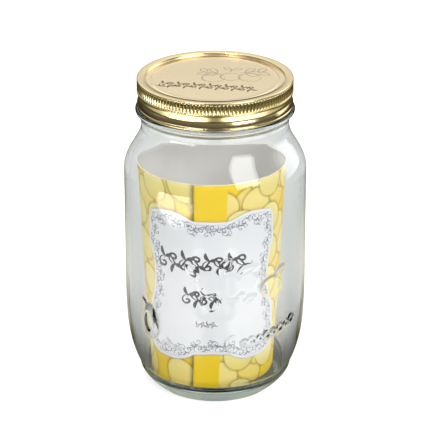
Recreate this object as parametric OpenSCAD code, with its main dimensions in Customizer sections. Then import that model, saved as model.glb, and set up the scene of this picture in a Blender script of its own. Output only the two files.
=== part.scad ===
// Wide-mouth glass storage jar with a two-piece gold screw closure,
// a rolled card sleeve standing inside it and a label card on the sleeve.
// Millimetres, +Z up, origin on the jar's axis in the plane that it stands on.
// The label faces -Y.

/* [Overall] */
// Height from the table to the top of the screwed-down closure
total_h = 190; // [186:1:196]
// Widest outside radius of the glass
body_r = 52.8; // [52:0.2:54]
// Glass thickness of the body wall
glass_t = 3.2; // [2.8:0.1:3.4]

/* [Jar foot] */
// Outer radius of the ring that the jar stands on
bearing_r = 35; // [34:0.5:36]
// Width of that ring
bearing_w = 5; // [4:0.5:6]
// Outside radius of the foot band
foot_r = 44.6; // [44:0.1:45]
// Height of the foot band
foot_h = 12; // [11:0.5:13]
// Height at which the heel becomes the straight body
heel_top = 78; // [70:1:84]
// Height of the inside floor at its edge
floor_z = 9; // [8:0.2:10]
// Rise of the floor and of the underside towards the middle
push_up = 1.6; // [0.5:0.1:2]

/* [Jar neck] */
// Height at which the shoulder begins
shoulder_z = 136; // [132:1:138]
// Outside radius of the neck under the transfer ring
neck_r = 42.7; // [42:0.1:43]
// Inside radius of the mouth
mouth_r = 37.9; // [37:0.1:38]
// Outside radius of the transfer ring
ring_r = 45.9; // [45.4:0.1:46.4]
// Outside radius of the threaded finish
finish_r = 41.2; // [40.8:0.1:41.3]
// Outside radius of the glass thread
thread_r = 42.4; // [42:0.1:42.4]
// Rise of the thread in one turn
thread_pitch = 6; // [5:0.5:6]
// Turns of glass thread
thread_turns = 1.4; // [1:0.1:1.5]

/* [Screw band] */
// Outside radius of the band
band_r = 44.5; // [44.5:0.1:44.8]
// Height of the band
band_h = 17; // [16.8:0.1:17.2]
// Thickness of the sheet metal
sheet_t = 0.5; // [0.4:0.05:0.55]
// Number of grip ribs
rib_n = 130; // [100:2:150]
// Inside radius of the band's top flange
flange_in_r = 40.1; // [39.9:0.05:40.2]
// Outside radius at the band's waist, below the grip ribs
waist_r = 43.9; // [43.8:0.05:44.2]
// Outside radius of the rolled bead at the band's bottom edge
bead_r = 44.9; // [44.7:0.1:45]

/* [Lid disc] */
// Outside radius of the disc
disc_r = 42.9; // [42.5:0.1:43]
// How far the panel sits below the band's top
panel_drop = 1.7; // [1.6:0.05:1.9]

/* [Card sleeve] */
// Outside radius of the sleeve at its top edge
sleeve_top_r = 43.2; // [41:0.1:44]
// Outside radius of the sleeve at its bottom edge
sleeve_foot_r = 37.8; // [36:0.1:38]
// Height of the sleeve's bottom edge
sleeve_z = 13; // [12.6:0.1:14]
// Length of the sleeve along its axis
sleeve_h = 127; // [110:1:128]
// Thickness of the card
card_t = 0.5; // [0.3:0.05:0.6]
// Angle over which the roll's two ends overlap
overlap_deg = 60; // [30:5:90]
// Sideways lean of the loose sleeve inside the jar
sleeve_shift = -2.2; // [-2.4:0.1:0]

/* [Label] */
// Height of the label's middle above the table
label_z = 76; // [70:1:80]
// Thickness of the label card
label_t = 0.4; // [0.2:0.05:0.5]

/* [Hidden] */
$fn = 180;

curve_steps = 14;

// Heights along the neck
panel_z = total_h - panel_drop;
disc_t = 0.45;
panel_under = panel_z - disc_t;
rim_z = panel_under - 0.15;
band_z = total_h - band_h;
ring_top = band_z - 0.3;
ring_h = 3.1;
ring_z = ring_top - ring_h;
shoulder_end = 162;
rim_round = 1.2;

// Foot: the toe swells from the bearing ring to the foot band as 1 - (1 - t)^1.5
function toe_r(t) = bearing_r + (foot_r - bearing_r) * (1 - pow(1 - t, 1.5));

// Crease between the foot band and the heel
crease_depth = 0.35;

// Heel: the wall falls away from the body radius with the fourth power of the depth
heel_z = foot_h + 2;
heel_drop = body_r - foot_r - 0.4;
function heel_r(z) = body_r - heel_drop * pow((heel_top - z) / (heel_top - heel_z), 4);

// Shoulder: half a cosine wave from the body down to the neck
function s_curve(t) = 0.5 + 0.5 * cos(180 * t);
function between(a, b, t) = a + (b - a) * t;

// A quarter of an ellipse, from angle a0 to a1 around c
function arc(c, rx, ry, a0, a1, n = curve_steps) =
    [for (i = [0:n]) let (a = between(a0, a1, i / n)) [c[0] + rx * cos(a), c[1] + ry * sin(a)]];

jar_outside = concat(
    [for (i = [0:curve_steps]) let (t = i / curve_steps) [toe_r(t), foot_h * t]],
    [[foot_r - crease_depth, foot_h + 1]],
    [for (i = [0:curve_steps]) let (z = between(heel_z, heel_top, i / curve_steps)) [heel_r(z), z]],
    [for (i = [0:curve_steps * 2])
        let (t = i / (curve_steps * 2))
            [between(neck_r, body_r, s_curve(t)), between(shoulder_z, shoulder_end, t)]],
    arc([neck_r + 3, shoulder_end + 1.5], 3, ring_z - shoulder_end - 1.5, 180, 115, 8),
    arc([ring_r - ring_h / 2, ring_z + ring_h / 2], ring_h / 2, ring_h / 2, -70, 90, 10),
    [[finish_r, ring_top]],
    arc([finish_r - rim_round, rim_z - rim_round], rim_round, rim_round, 0, 90, 6)
);

// Inside of the glass, from the mouth down to the middle of the floor
inner_r = body_r - glass_t;
inner_heel_z = floor_z + 3.6;
inner_heel_r = 40.3;
floor_r = 33;
function inner_wall(z) =
    inner_r - (inner_r - inner_heel_r) * pow((heel_top - z) / (heel_top - inner_heel_z), 3.2);

jar_inside = concat(
    arc([mouth_r + rim_round, rim_z - rim_round], rim_round, rim_round, 90, 180, 6),
    [[mouth_r, shoulder_end + 4]],
    [for (i = [0:curve_steps * 2])
        let (t = 1 - i / (curve_steps * 2))
            [between(mouth_r + 0.6, inner_r, s_curve(t)), between(shoulder_z - 1.5, shoulder_end - 1, t)]],
    [for (i = [0:curve_steps]) let (z = between(heel_top, inner_heel_z, i / curve_steps)) [inner_wall(z), z]],
    arc([floor_r, inner_heel_z], inner_heel_r - floor_r, inner_heel_z - floor_z, -10, -90, 8),
    [for (i = [1:8]) let (t = i / 8) [floor_r * (1 - t), floor_z + push_up * (1 - pow(1 - t, 2))]]
);

underside = [for (i = [0:8])
    let (t = i / 8) [(bearing_r - bearing_w) * t, (push_up + 1) * (1 - pow(t, 2))]];

// One helix of trapezoidal section round the finish, fading out at both ends
thread_steps = 84;
thread_start = ring_top + 2.6;
function fade(t) = min(1, min(t, 1 - t) * 10);
function thread_section(t) =
    let (r = between(finish_r - 0.3, thread_r, fade(t)),
         a = 360 * thread_turns * t - 60,
         z = thread_start + thread_pitch * thread_turns * t)
    [for (p = [[finish_r - 0.4, -1.3], [r, -0.5], [r, 0.5], [finish_r - 0.4, 1.3]])
        [p[0] * cos(a), p[0] * sin(a), z + p[1]]];

module glass_thread() {
    rings = [for (i = [0:thread_steps]) thread_section(i / thread_steps)];
    points = [for (ring = rings) for (p = ring) p];
    sides = [for (i = [0:thread_steps - 1]) for (j = [0:3])
        [4 * i + j, 4 * i + (j + 1) % 4, 4 * (i + 1) + (j + 1) % 4, 4 * (i + 1) + j]];
    last = 4 * thread_steps;
    polyhedron(points, concat([[3, 2, 1, 0]], sides, [[last, last + 1, last + 2, last + 3]]));
}

module glass_jar() {
    color([0.82, 0.88, 0.86, 0.35]) {
        rotate_extrude() polygon(concat(underside, jar_outside, jar_inside));
        glass_thread();
    }
}

// Screw band: outer face from the flange down, then back up inside at sheet thickness
knurl_top = total_h - 1.1;
knurl_h = 6;
knurl_z = knurl_top - knurl_h;
rib_depth = 0.45;
valley_r = band_r - rib_depth;
lip_z = knurl_z - 0.5;
waist_z = knurl_z - 4.7;
bead = 0.9;
bead_top = band_z + 2 * bead;
hem_z = bead_top + 0.2;

// Skirt under the ribs: half a cosine wave in to the waist, then a gentle flare out to the hem
function taper_r(t) = between(waist_r, band_r, s_curve(t));
function flare_r(t) = between(waist_r, band_r, t * (1.5 - 0.5 * t));
skirt = concat(
    [for (i = [0:10]) let (t = i / 10) [taper_r(t), between(lip_z, waist_z, t)]],
    [for (i = [1:6]) let (t = i / 6) [flare_r(t), between(waist_z, hem_z, t)]]
);
skirt_end = len(skirt) - 1;

band_outside = concat(
    [[flange_in_r, total_h - sheet_t], [flange_in_r, total_h - 0.15], [flange_in_r + 0.15, total_h]],
    arc([band_r - 0.6, total_h - 0.6], 0.6, 0.6, 90, 0, 6),
    [[valley_r, knurl_top + 0.2], [valley_r, knurl_z + 0.1], [band_r, knurl_z - 0.2]],
    skirt,
    arc([bead_r - bead, band_z + bead], bead, bead, 70, -90, 10)
);
bead_inner_r = band_r - 2.4 * sheet_t;
band_inside = concat(
    [[bead_inner_r, band_z], [bead_inner_r, bead_top]],
    [for (i = [skirt_end:-1:0]) [skirt[i][0] - sheet_t, skirt[i][1]]],
    [[valley_r - sheet_t, knurl_z], [valley_r - sheet_t, total_h - sheet_t]]
);

// Grip ribs: the outline swings between the valley and the crest rib_n times
module grip_ribs() {
    rib_deg = 360 / rib_n;
    outline = [for (i = [0:rib_n - 1]) for (p = [[0, 0], [0.3, 1], [0.6, 1], [0.9, 0]])
        let (r = between(valley_r, band_r, p[1]), a = (i + p[0]) * rib_deg) [r * cos(a), r * sin(a)]];
    translate([0, 0, knurl_z])
        linear_extrude(knurl_h)
            difference() {
                polygon(outline);
                circle(valley_r - 0.2);
            }
}

module screw_band() {
    color([0.80, 0.68, 0.38]) {
        rotate_extrude() polygon(concat(band_outside, band_inside));
        grip_ribs();
    }
}

// Lid disc: a flat panel, a steep wall up to the channel that holds the compound, and a turned-down edge
channel_top = total_h - sheet_t - 0.2;
wall_r = 40.2;
channel_r = 40.4;
wall_t = 0.35;
panel_step_r = 36;
panel_step = 0.25;
curl_z = channel_top - 1.2;

disc_top = [
    [0, panel_z + panel_step],
    [panel_step_r, panel_z + panel_step],
    [panel_step_r + 0.8, panel_z],
    [wall_r, panel_z],
    [channel_r, channel_top],
    [disc_r - 0.4, channel_top],
    [disc_r, channel_top - 0.4],
    [disc_r, curl_z]
];
disc_under = [
    [disc_r - 0.4, curl_z],
    [disc_r - 0.4, channel_top - disc_t],
    [channel_r + wall_t, channel_top - disc_t],
    [wall_r + wall_t, panel_under],
    [panel_step_r + 0.8, panel_under],
    [panel_step_r, panel_under + panel_step],
    [0, panel_under + panel_step]
];

module lid_disc() {
    color([0.86, 0.77, 0.52]) rotate_extrude() polygon(concat(disc_top, disc_under));
}

module sealing_ring() {
    gasket_z = rim_z - 0.15;
    gasket_in_r = channel_r + wall_t + 0.05;
    color([0.93, 0.92, 0.88])
        rotate_extrude()
            polygon([
                [gasket_in_r, gasket_z],
                [disc_r - 0.45, gasket_z],
                [disc_r - 0.45, channel_top - disc_t],
                [gasket_in_r, channel_top - disc_t]
            ]);
}

// Card sleeve: a strip rolled into a cone, its outer end lapping over its inner end at the front
seam_deg = 256;
roll_steps = 108;
roll_gap = 0.1;
roll_deg = 360 + overlap_deg;
roll_pitch = (card_t + roll_gap) / 360;
function roll_r(a) = sleeve_foot_r - card_t - roll_pitch * a;
roll_angles = [for (i = [0:roll_steps]) roll_deg * i / roll_steps];

module insert_sleeve() {
    outer_face = [for (a = roll_angles)
        let (r = roll_r(a) + card_t) [r * cos(seam_deg + a), r * sin(seam_deg + a)]];
    inner_face = [for (i = [roll_steps:-1:0])
        let (a = roll_angles[i], r = roll_r(a)) [r * cos(seam_deg + a), r * sin(seam_deg + a)]];
    color([0.93, 0.80, 0.12])
        translate([sleeve_shift, 0, sleeve_z])
            linear_extrude(height = sleeve_h, scale = sleeve_top_r / sleeve_foot_r)
                polygon(concat(outer_face, inner_face));
}

// Label: half of the outline as [distance round the sleeve, height from the middle]
label_half = [
    [0, 42], [10, 42], [14.5, 44], [19, 46], [24, 46.8], [32, 46], [38, 44.5], [41.5, 42], [41.8, 26],
    [39, 19], [37, 10], [36.5, 0], [37.5, -8], [40, -14], [41.5, -22], [42.5, -35], [40, -43],
    [36, -47], [27, -48.2], [20, -48], [15, -46.5], [11, -44], [0, -43]
];
label_count = len(label_half);
label_outline = concat(label_half, [for (i = [label_count - 2:-1:1]) [-label_half[i][0], label_half[i][1]]]);
label_gap = 0.1;
label_reach = 52;
label_mid_r = between(sleeve_foot_r, sleeve_top_r, (label_z - sleeve_z) / sleeve_h) + 2 * label_gap;

function on_front(p) = [label_mid_r * sin(p[0] / label_mid_r * 180 / PI), p[1]];

module label_card() {
    taper = (sleeve_top_r - sleeve_foot_r) / sleeve_h;
    low = label_z - label_reach;
    high = label_z + label_reach;
    function cone_r(z) = sleeve_foot_r + taper * (z - sleeve_z) + label_gap;
    color([0.90, 0.91, 0.93])
        translate([sleeve_shift, 0, 0])
            intersection() {
                rotate_extrude()
                    polygon([
                        [cone_r(low), low],
                        [cone_r(low) + label_t, low],
                        [cone_r(high) + label_t, high],
                        [cone_r(high), high]
                    ]);
                translate([0, 0, label_z])
                    rotate([90, 0, 0])
                        linear_extrude(body_r)
                            polygon([for (p = label_outline) on_front(p)]);
            }
}

glass_jar();
screw_band();
lid_disc();
sealing_ring();
insert_sleeve();
label_card();
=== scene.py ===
# %% [markdown]
# # A glass storage jar with a gold screw closure
#
# The jar is clear pressed glass. A ribbed gold band holds a flat printed disc down on its mouth. Inside
# stands a sheet of yellow card, rolled into a loose cone, and a white label is stuck on its front.
# The CAD model gives every size and place, and this file gives the looks around it.

# %% Load the frame
import math

import bpy
import numpy as np
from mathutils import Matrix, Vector


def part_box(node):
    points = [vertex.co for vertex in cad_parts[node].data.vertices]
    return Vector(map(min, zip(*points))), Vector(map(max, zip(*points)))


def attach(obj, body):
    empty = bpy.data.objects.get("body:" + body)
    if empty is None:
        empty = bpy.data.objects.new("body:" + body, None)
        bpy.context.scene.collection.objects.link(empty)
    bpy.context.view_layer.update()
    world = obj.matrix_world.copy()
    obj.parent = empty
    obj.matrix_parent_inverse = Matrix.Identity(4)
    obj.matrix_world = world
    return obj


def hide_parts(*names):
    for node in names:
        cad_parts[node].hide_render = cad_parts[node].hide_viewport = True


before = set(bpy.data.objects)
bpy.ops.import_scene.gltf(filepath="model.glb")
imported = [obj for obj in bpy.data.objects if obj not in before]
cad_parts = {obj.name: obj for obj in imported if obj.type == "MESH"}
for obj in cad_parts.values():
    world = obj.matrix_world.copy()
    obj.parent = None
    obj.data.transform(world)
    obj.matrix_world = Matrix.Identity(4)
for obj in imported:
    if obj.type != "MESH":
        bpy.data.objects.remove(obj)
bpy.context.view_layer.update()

MM = 0.001


def node_size(name):
    """Lowest and highest corner of a CAD node, in millimetres."""
    low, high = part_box(name)
    return np.array(low) / MM, np.array(high) / MM


# %% [markdown]
# ## Camera
#
# A long lens a metre and a half away keeps the jar's sides nearly parallel, as a catalogue picture does.
# The camera could be turned by hand, but here it is aimed at a point: `to_track_quat` turns the
# direction from the camera to the aim into a rotation.

# %% Camera
CAMERA_DISTANCE = 1.5
CAMERA_ELEVATION = math.radians(23.59)
LENS_MM = 209.2
ORBIT_HEIGHT = 0.088
AIM = Vector((0.0028, 0.0, 0.1008))

camera_data = bpy.data.cameras.new("camera")
camera = bpy.data.objects.new("camera", camera_data)
bpy.context.collection.objects.link(camera)
camera.location = (
    0,
    -CAMERA_DISTANCE * math.cos(CAMERA_ELEVATION),
    ORBIT_HEIGHT + CAMERA_DISTANCE * math.sin(CAMERA_ELEVATION),
)
camera.rotation_euler = (AIM - camera.location).to_track_quat("-Z", "Y").to_euler()
camera_data.lens = LENS_MM
camera_data.sensor_width = 36
camera_data.clip_end = 20
bpy.context.scene.camera = camera
print("camera at", [round(v, 3) for v in camera.location])

# %% [markdown]
# ## Mesh tools
#
# A jar, a lid and a band are all turned shapes. Each is a profile in radius and height, carried round
# the axis. The whole grid of points is worked out at once with numpy, and a second function of angle
# and height can push the surface in or out, which gives grip ribs, a screw thread and raised ornament
# without cutting anything.

# %% Mesh from arrays
def new_piece(name, points, faces, materials, face_slots=None):
    """A mesh object from an (n, 3) array in millimetres and a list of face arrays, each (k, 3) or (k, 4)."""
    mesh = bpy.data.meshes.new(name)
    rows = [row for block in faces for row in block.tolist()]
    mesh.from_pydata((points * MM).tolist(), [], rows)
    for material in materials:
        mesh.materials.append(material)
    mesh.polygons.foreach_set("use_smooth", np.ones(len(rows), bool))
    if face_slots is not None:
        mesh.polygons.foreach_set("material_index", face_slots)
    mesh.update()
    piece = bpy.data.objects.new(name, mesh)
    bpy.context.collection.objects.link(piece)
    triangles = sum(len(block) * (block.shape[1] - 2) for block in faces)
    print(f"{name}: {len(points)} points, {triangles} triangles")
    return piece


def volume_cm3(points, faces):
    """Signed volume: the sum of corner . (corner x corner) / 6 over fans of triangles. Positive faces out."""
    total = 0.0
    for block in faces:
        for k in range(1, block.shape[1] - 1):
            a, b, c = points[block[:, 0]], points[block[:, k]], points[block[:, k + 1]]
            total += np.einsum("ij,ij->i", a, np.cross(b, c)).sum() / 6
    return total / 1000


def arc(centre_r, centre_z, radius_r, radius_z, start, end, steps):
    """Points centre + (radius_r cos a, radius_z sin a) for angles a from start to end, in degrees."""
    a = np.radians(np.linspace(start, end, steps + 1))
    return np.column_stack([centre_r + radius_r * np.cos(a), centre_z + radius_z * np.sin(a)])


def lathe(profile, angles, push=None):
    """Points r(i) (sin a, -cos a), z(i) for a profile of (radius, height) rows that runs anticlockwise.

    Angle 0 faces the front. push(angle, radius, height) is added to the radius. Ends on the axis
    become single points, and a profile with no end on the axis is joined into a ring.
    """
    rows, columns = len(profile), len(angles)
    r = np.repeat(profile[:, :1], columns, 1)
    z = np.repeat(profile[:, 1:], columns, 1)
    a = np.repeat(angles[None, :], rows, 0)
    if push is not None:
        r = r + push(a, r, z)
    points = np.stack([r * np.sin(a), -r * np.cos(a), z], -1).reshape(-1, 3)
    index = np.arange(rows * columns).reshape(rows, columns)
    poled = profile[0, 0] < 1e-6
    if poled:
        index[0] = index[0, 0]
        index[-1] = index[-1, 0]
    lower = index if not poled else index[1:-1]
    upper = np.roll(index, -1, 0) if not poled else index[2:-1]
    lower = lower[: len(upper)]
    quads = np.stack([lower, np.roll(lower, -1, 1), np.roll(upper, -1, 1), upper], -1).reshape(-1, 4)
    faces = [quads]
    if poled:
        first, last = index[1], index[-2]
        start, end = np.full(columns, index[0, 0]), np.full(columns, index[-1, 0])
        faces.append(np.stack([start, np.roll(first, -1), first], -1))
        faces.append(np.stack([last, np.roll(last, -1), end], -1))
    used = np.unique(np.concatenate([f.ravel() for f in faces]))
    renumber = np.zeros(len(points), int)
    renumber[used] = np.arange(len(used))
    return points[used], [renumber[f] for f in faces]


def smooth_step(x):
    """0 below 0, 1 above 1, and 3x^2 - 2x^3 between."""
    x = np.clip(x, 0, 1)
    return x * x * (3 - 2 * x)


# %% [markdown]
# ## Material tools
#
# Small changes of tone and paper grain are effects that several finishes share. Each is a node group with
# named inputs, built once and set differently in each material.

# %% Node helpers
def new_material(name):
    """A material with an empty Principled BSDF, returned with its node tree and that shader."""
    material = bpy.data.materials.new(name)
    material.use_nodes = True
    shader = material.node_tree.nodes["Principled BSDF"]
    return material, material.node_tree, shader


def new_group(name, inputs, outputs):
    """A shader node group with named sockets, given as {name: (type, default)} and {name: type}."""
    group = bpy.data.node_groups.new(name, "ShaderNodeTree")
    for label, (kind, value) in inputs.items():
        socket = group.interface.new_socket(label, in_out="INPUT", socket_type=f"NodeSocket{kind}")
        if value is not None:
            socket.default_value = value
    for label, kind in outputs.items():
        group.interface.new_socket(label, in_out="OUTPUT", socket_type=f"NodeSocket{kind}")
    return group, group.nodes.new("NodeGroupInput"), group.nodes.new("NodeGroupOutput")


def feed(tree, socket, value):
    """Link another node's output into an input socket, or set that socket's own value."""
    if isinstance(value, bpy.types.NodeSocket):
        tree.links.new(value, socket)
    else:
        socket.default_value = value


def wire(tree, kind, settings=None, **inputs):
    """A new node. settings are its own options; inputs are sockets to link or values to set, by name.

    A key such as i2 means input number 2, for nodes whose sockets share a name.
    """
    node = tree.nodes.new(f"ShaderNode{kind}")
    for key, value in (settings or {}).items():
        setattr(node, key, value)
    for key, value in inputs.items():
        numbered = key[0] == "i" and key[1:].isdigit()
        feed(tree, node.inputs[int(key[1:]) if numbered else key.replace("_", " ")], value)
    return node


def place(tree, group, **inputs):
    """The first output of a node that uses a group, with its inputs linked or set by name."""
    node = tree.nodes.new("ShaderNodeGroup")
    node.node_tree = group
    for key, value in inputs.items():
        feed(tree, node.inputs[key.replace("_", " ")], value)
    return node.outputs[0]


def sums(tree, operation, *values, clamp=False):
    """The result of a Math node: the operation's name, then its values in order."""
    node = wire(tree, "Math", {"operation": operation, "use_clamp": clamp})
    for socket, value in zip(node.inputs, values):
        feed(tree, socket, value)
    return node.outputs[0]


def blend(tree, factor, low, high):
    """A colour that goes from low to high as the factor goes from 0 to 1."""
    return wire(tree, "Mix", {"data_type": "RGBA"}, i0=factor, i6=low, i7=high).outputs[2]


def ramp(tree, value, start, end, first, last, kind="SMOOTHSTEP"):
    """first below start, last above end, and a smooth or LINEAR change from one to the other between."""
    settings = {"interpolation_type": kind}
    return wire(tree, "MapRange", settings, i0=value, i1=start, i2=end, i3=first, i4=last).outputs[0]


def object_coords(tree):
    """The place on the piece in its own coordinates, so that a pattern moves with the piece."""
    return wire(tree, "TexCoord").outputs["Object"]


def noise(tree, coords, scale, detail):
    """A smooth random pattern between 0 and 1."""
    return wire(tree, "TexNoise", Vector=coords, Scale=scale, Detail=detail).outputs[0]


def emboss(tree, shader, height, strength, distance):
    """Tilt the shader's normal as a pattern of heights would, with its depth in metres."""
    bump = wire(tree, "Bump", Height=height, Strength=strength, Distance=distance)
    tree.links.new(bump.outputs[0], shader.inputs["Normal"])


def srgb(r, g, b):
    """A linear colour from 0-255 display values, by the sRGB curve."""
    c = np.array([r, g, b]) / 255
    linear = np.where(c <= 0.04045, c / 12.92, ((c + 0.055) / 1.055) ** 2.4)
    return (*[float(v) for v in linear], 1.0)


# %% Shared groups: uneven tone, and paper grain
def build_uneven():
    """Value = Middle + Swing * (noise - 0.5), with noise of the given Scale at the given Vector."""
    group, ins, outs = new_group(
        "uneven",
        {
            "Vector": ("Vector", None), "Scale": ("Float", 40.0),
            "Middle": ("Float", 0.3), "Swing": ("Float", 0.1),
        },
        {"Value": "Float"},
    )
    given = ins.outputs
    centred = sums(group, "SUBTRACT", noise(group, given["Vector"], given["Scale"], 4.0), 0.5)
    swung = sums(group, "MULTIPLY_ADD", centred, given["Swing"], given["Middle"])
    group.links.new(swung, outs.inputs["Value"])
    return group


def build_paper_grain():
    """Height of short felted fibres: two noises, one stretched along and one across, added together."""
    group, ins, outs = new_group(
        "paper_grain", {"Vector": ("Vector", None), "Scale": ("Float", 900.0)}, {"Height": "Float"}
    )
    heights = []
    for stretch in ((1.0, 4.0, 1.0), (4.0, 1.0, 3.0)):
        mapped = wire(group, "Mapping", Vector=ins.outputs["Vector"], Scale=stretch)
        heights.append(noise(group, mapped.outputs[0], ins.outputs["Scale"], 3.0))
    group.links.new(sums(group, "ADD", *heights), outs.inputs["Height"])
    return group


UNEVEN = build_uneven()
PAPER_GRAIN = build_paper_grain()


def wander(tree, coords, scale, middle, swing):
    """A value that strays either side of middle, in patches whose size is set by scale."""
    return place(tree, UNEVEN, Vector=coords, Scale=scale, Middle=middle, Swing=swing)


print("groups:", [g.name for g in bpy.data.node_groups])

# %% [markdown]
# ## The glass
#
# Pressed glass is thick at the base and about three millimetres thick in the wall. That thickness is
# what bends the light, so the jar is a closed shell with a true inside and not a single skin. The
# ornament that was pressed into the front, a few fruits and a trailing vine, is a height added to the
# radius. The screw thread is the same idea: a ridge whose height rises with the angle.

# %% Glass sizes
jar_low, jar_high = node_size("glass_jar")
band_low, band_high = node_size("screw_band")
disc_low, disc_high = node_size("lid_disc")
sleeve_low, sleeve_high = node_size("insert_sleeve")

seam_height = 0.1
body_r = (jar_high[0] - jar_low[0]) / 2 - seam_height
rim_z = jar_high[2]
glass_t = 3.2
bearing_r, bearing_w, foot_r, foot_h = 35.0, 5.0, 44.6, 12.0
heel_z, heel_top = foot_h + 2, 78.0
floor_z, floor_r, push_up = 9.0, 33.0, 1.6
shoulder_z, shoulder_end = 136.0, 162.0
neck_r, ring_r, finish_r, thread_r, mouth_r = 42.7, 45.9, 41.2, 42.4, 37.9
ring_top = band_low[2] - 0.3
ring_h = 3.1
ring_z = ring_top - ring_h
rim_round = 1.2
thread_pitch, thread_turns, thread_rise = 6.0, 1.4, 2.6
fine_foot, fine_head = 36.0, 108.0
ornament_foot, ornament_head = 34.0, 106.0
print("body radius", round(body_r, 2), "rim height", round(rim_z, 2))

# %% Glass profile
def s_curve(t):
    """Half a cosine wave: 1 at t = 0 and 0 at t = 1."""
    return 0.5 + 0.5 * np.cos(np.pi * t)


def glass_outside():
    """Underside, toe, heel, body, shoulder, neck, transfer ring and finish, from the axis to the rim.

    The toe swells as 1 - (1 - t)^1.5, the heel falls away as the fourth power of its depth, and the
    shoulder is half a cosine wave.
    """
    t = np.linspace(0, 1, 7)
    underside = np.column_stack([(bearing_r - bearing_w) * t, (push_up + 1) * (1 - t**2)])
    t = np.linspace(0, 1, 12)
    toe = np.column_stack([bearing_r + (foot_r - bearing_r) * (1 - (1 - t) ** 1.5), foot_h * t])
    crease = [[foot_r - 0.25, foot_h + 0.5], [foot_r - 0.35, foot_h + 1], [foot_r - 0.1, foot_h + 1.6]]
    z = np.concatenate([np.linspace(heel_z, fine_foot, 14), np.linspace(fine_foot, heel_top, 54)[1:]])
    drop = body_r - foot_r - 0.4
    heel = np.column_stack([body_r - drop * ((heel_top - z) / (heel_top - heel_z)) ** 4, z])
    above = np.linspace(fine_head, shoulder_z, 7)[1:-1]
    z = np.concatenate([np.linspace(heel_top, fine_head, 36)[1:], above])
    body = np.column_stack([np.full(len(z), body_r), z])
    t = np.linspace(0, 1, 27)
    z = shoulder_z + (shoulder_end - shoulder_z) * t
    shoulder = np.column_stack([neck_r + (body_r - neck_r) * s_curve(t), z])
    flare = arc(neck_r + 3, shoulder_end + 1.5, 3, ring_z - shoulder_end - 1.5, 180, 115, 8)
    ring = arc(ring_r - ring_h / 2, ring_z + ring_h / 2, ring_h / 2, ring_h / 2, -70, 90, 12)
    z = np.linspace(ring_top, rim_z - rim_round, 38)
    finish = np.column_stack([np.full(len(z), finish_r), z])
    rim = arc(finish_r - rim_round, rim_z - rim_round, rim_round, rim_round, 0, 90, 6)[1:]
    return np.concatenate([underside, toe, crease, heel, body, shoulder, flare, ring, finish, rim])


def glass_inside():
    """Mouth, neck, shoulder, wall, heel fillet and domed floor, from the rim back to the axis."""
    inner_r = body_r - glass_t
    inner_heel_z, inner_heel_r = floor_z + 3.6, 40.3
    rim = arc(mouth_r + rim_round, rim_z - rim_round, rim_round, rim_round, 90, 180, 6)
    t = np.linspace(1, 0, 20)
    top_r = mouth_r + 0.6
    z = shoulder_z - 1.5 + (shoulder_end - shoulder_z + 0.5) * t
    shoulder = np.column_stack([top_r + (inner_r - top_r) * s_curve(t), z])
    z = np.linspace(heel_top, inner_heel_z, 16)
    depth = (heel_top - z) / (heel_top - inner_heel_z)
    heel = np.column_stack([inner_r - (inner_r - inner_heel_r) * depth**3.2, z])
    fillet = arc(floor_r, inner_heel_z, inner_heel_r - floor_r, inner_heel_z - floor_z, -10, -90, 8)
    t = np.linspace(0, 1, 8)[1:]
    floor = np.column_stack([floor_r * (1 - t), floor_z + push_up * (1 - (1 - t) ** 2)])
    return np.concatenate([rim, [[mouth_r, shoulder_end + 4]], shoulder, heel, fillet, floor])


# %% Raised ornament on the front of the glass
def oval(s, z, centre, half, tilt=0.0, edge=0.25):
    """1 inside an ellipse with the given half axes and 0 outside, with a soft edge."""
    c, d = math.cos(math.radians(tilt)), math.sin(math.radians(tilt))
    x, y = s - centre[0], z - centre[1]
    u, v = (x * c + y * d) / half[0], (-x * d + y * c) / half[1]
    return smooth_step((1 + edge - np.hypot(u, v)) / edge)


def leaf(s, z, base, length, width, tilt):
    """A pointed leaf from base, tilted up from the horizontal, with a groove along its middle."""
    c, d = math.cos(math.radians(tilt)), math.sin(math.radians(tilt))
    x, y = s - base[0], z - base[1]
    u, v = (x * c + y * d) / length, np.abs(-x * d + y * c) / width
    inside = (u > 0) & (u < 1)
    edge = np.where(inside, 4 * u * (1 - u) * (1 - 0.35 * u), 0)
    return smooth_step((edge - v) * 4) * (0.55 + 0.45 * smooth_step(v * 5))


def ring_ridge(s, z, centre, radius, width):
    """A round ridge along a circle: exp(-((d - radius) / width)^2) at distance d from the centre."""
    return np.exp(-(((np.hypot(s - centre[0], z - centre[1]) - radius) / width) ** 2))


RELIEF_HEIGHT = 0.6


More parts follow.
